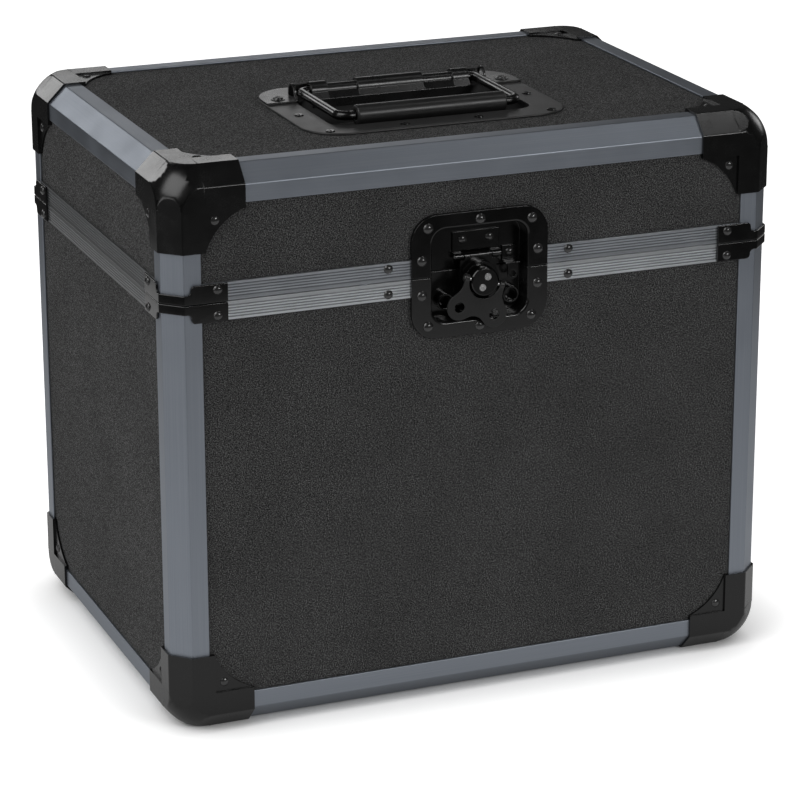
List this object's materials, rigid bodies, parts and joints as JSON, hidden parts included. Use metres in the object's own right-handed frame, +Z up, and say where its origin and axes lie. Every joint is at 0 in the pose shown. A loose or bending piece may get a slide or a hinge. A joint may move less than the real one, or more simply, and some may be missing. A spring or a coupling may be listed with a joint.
{
  "type": "record carrying case",
  "caption": "Upright carrying case for records: panels in bevelled metal edges, ball corners, a hinged lid, a recessed butterfly latch and a sprung top handle.",
  "frame": {"origin": "on the floor under the middle of the case", "axes": "+Z up, -Y towards the front with the latch, +X along the width to the viewer's right"},
  "size_m": [0.4062, 0.2996, 0.3675],
  "materials": {
    "laminate": "matte black speckled laminate on board",
    "blue_grey_aluminium": "satin blue-grey anodised",
    "closure_aluminium": "ribbed, satin anodised",
    "black_steel": "gloss black over sheet steel",
    "satin_steel": "satin black over sheet steel",
    "wing_steel": "matte dark grey",
    "bright_steel": "bright zinc",
    "grip_sleeve": "satin black moulded sleeve",
    "foam": "dark grey foam"
  },
  "bodies": {
    "base": {"base_front_panel": "laminate", "base_back_panel": "laminate", "base_left_panel": "laminate", "base_right_panel": "laminate", "base_bottom_panel": "laminate", "base_upright_profiles": "blue_grey_aluminium", "base_long_edge_profiles": "blue_grey_aluminium", "base_side_edge_profiles": "blue_grey_aluminium", "base_front_rims": "closure_aluminium", "base_back_rim": "closure_aluminium", "base_side_rims": "closure_aluminium", "base_corner_caps": "black_steel", "base_cap_rivets": "black_steel", "base_corner_straps": "black_steel", "base_seam_rivets": "black_steel", "base_latch_dish": "satin_steel", "base_dish_rivets": "black_steel", "latch_strike": "satin_steel", "padlock_eyelets": "satin_steel", "hinge_base_leaves": "black_steel", "hinge_pins": "bright_steel", "floor_pad": "foam", "front_wall_pad": "foam", "back_wall_pad": "foam"},
    "lid": {"lid_front_panel": "laminate", "lid_back_panel": "laminate", "lid_left_panel": "laminate", "lid_right_panel": "laminate", "lid_top_panel": "laminate", "lid_upright_profiles": "blue_grey_aluminium", "lid_long_edge_profiles": "blue_grey_aluminium", "lid_side_edge_profiles": "blue_grey_aluminium", "lid_front_rims": "closure_aluminium", "lid_back_rim": "closure_aluminium", "lid_side_rims": "closure_aluminium", "lid_corner_caps": "black_steel", "lid_cap_rivets": "black_steel", "lid_corner_straps": "black_steel", "lid_seam_rivets": "black_steel", "lid_latch_dish": "black_steel", "lid_dish_rivets": "black_steel", "latch_hinge_plate": "satin_steel", "latch_hinge_pin": "bright_steel", "latch_plate_rivets": "black_steel", "padlock_hasp": "satin_steel", "hinge_lid_leaves": "black_steel", "handle_plate": "satin_steel", "handle_cover": "satin_steel", "handle_bushes": "satin_steel", "handle_screws": "black_steel", "handle_pop_rivets": "bright_steel", "lid_pad": "foam"},
    "arm": {"latch_arm": "satin_steel"},
    "drum": {"latch_drum": "satin_steel", "drum_pins": "bright_steel", "wing_fold_pin": "bright_steel"},
    "wing": {"latch_wing": "wing_steel"},
    "handle": {"handle_bail": "satin_steel", "handle_grip": "grip_sleeve"}
  },
  "joints": [
    {"name": "lid_hinge", "type": "hinge", "parent": "base", "child": "lid", "pos_m": [0, 0.14705, 0.2765], "axis": [-1, 0, 0], "range_deg": [0, 100]},
    {"name": "latch_arm_hinge", "type": "hinge", "parent": "lid", "child": "arm", "pos_m": [0.00175, -0.1364, 0.285], "axis": [-1, 0, 0], "range_deg": [0, 30]},
    {"name": "drum_turn", "type": "hinge", "parent": "arm", "child": "drum", "pos_m": [0.00175, -0.144, 0.271], "axis": [0, 1, 0], "range_deg": [0, 180]},
    {"name": "wing_fold", "type": "hinge", "parent": "drum", "child": "wing", "pos_m": [0.00175, -0.1472, 0.271], "axis": [-0.9578, 0, 0.2874], "range_deg": [0, 90]},
    {"name": "handle_lift", "type": "hinge", "parent": "lid", "child": "handle", "pos_m": [0, 0.006, 0.361], "axis": [-1, 0, 0], "range_deg": [0, 90], "stiffness_Nm_per_rad": 0.3}
  ]
}
